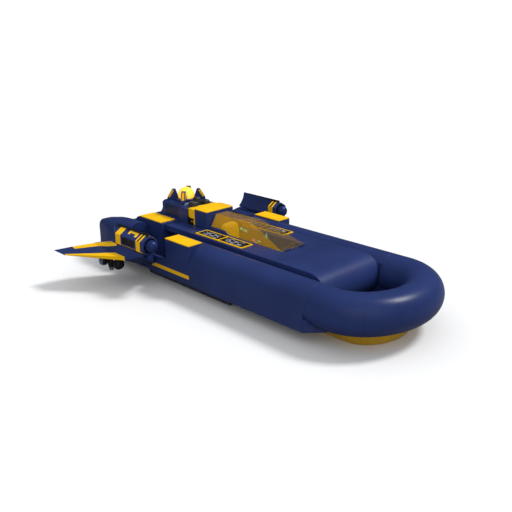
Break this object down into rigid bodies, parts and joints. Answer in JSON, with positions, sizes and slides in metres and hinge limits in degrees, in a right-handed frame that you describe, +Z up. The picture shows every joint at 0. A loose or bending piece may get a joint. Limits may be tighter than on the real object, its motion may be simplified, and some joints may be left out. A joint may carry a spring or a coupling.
{
  "type": "hovercraft",
  "caption": "Air-cushion racing craft: twin round-topped pontoons joined by a bow loop, tinted canopy, reactor tower, swept wings and octagonal thruster pods with turning fans.",
  "frame": {"origin": "on the floor, below the middle of the hull's length and width", "axes": "+X towards the bow, +Y to port, +Z up; the underside of both skids stands on z = 0"},
  "size_m": [8.427, 6.18, 1.764],
  "materials": {
    "hull_navy": "satin navy paint",
    "trim_yellow": "satin signal yellow paint",
    "canopy_glass": "amber tinted, clear",
    "black_plastic": "matt black",
    "dark_grey": "dark grey machinery paint",
    "bare_steel": "brushed",
    "seat_yellow": "padded yellow vinyl",
    "core_glow": "glowing yellow shell"
  },
  "bodies": {
    "hull": {"belly_skid": "hull_navy", "bow_dish": "trim_yellow", "bow_loop": "hull_navy", "canopy_hinge": "bare_steel", "coaming_port": "hull_navy", "coaming_starboard": "hull_navy", "console": "dark_grey", "control_stick": "black_plastic", "core_cradle": "hull_navy", "deck_vent_port": "trim_yellow", "deck_vent_starboard": "trim_yellow", "fuselage": "hull_navy", "headrest_block": "hull_navy", "headrest_cap": "trim_yellow", "outrigger_port": "hull_navy", "outrigger_starboard": "hull_navy", "peg_panel": "trim_yellow", "pod_casing_port": "hull_navy", "pod_casing_starboard": "hull_navy", "pod_rail_port": "black_plastic", "pod_rail_starboard": "black_plastic", "pontoon_port": "hull_navy", "pontoon_starboard": "hull_navy", "reactor_core": "core_glow", "seat_back": "seat_yellow", "seat_cushion": "seat_yellow", "shoulder_box_port": "hull_navy", "shoulder_box_starboard": "hull_navy", "shoulder_pad_port": "trim_yellow", "shoulder_pad_starboard": "trim_yellow", "side_sill_port": "hull_navy", "side_sill_starboard": "hull_navy", "stern_deck": "hull_navy", "stern_tube_port": "hull_navy", "stern_tube_starboard": "hull_navy", "tail_block": "hull_navy", "tail_pad_port": "trim_yellow", "tail_pad_starboard": "trim_yellow", "tower": "hull_navy", "wing_port": "hull_navy", "wing_probe_port": "dark_grey", "wing_probe_starboard": "dark_grey", "wing_starboard": "hull_navy"},
    "canopy": {"canopy": "canopy_glass"},
    "fan_port": {"pod_fan_port": "dark_grey"},
    "fan_starboard": {"pod_fan_starboard": "dark_grey"}
  },
  "joints": [
    {"name": "canopy_tilt", "type": "hinge", "parent": "hull", "child": "canopy", "pos_m": [1.078, 0, 1.0915], "axis": [0, 1, 0], "range_deg": [0, 50]},
    {"name": "fan_port_spin", "type": "hinge", "parent": "hull", "child": "fan_port", "pos_m": [-1.11, 1.944, 1.05], "axis": [1, 0, 0], "continuous": true},
    {"name": "fan_starboard_spin", "type": "hinge", "parent": "hull", "child": "fan_starboard", "pos_m": [-1.11, -1.944, 1.05], "axis": [1, 0, 0], "continuous": true}
  ]
}
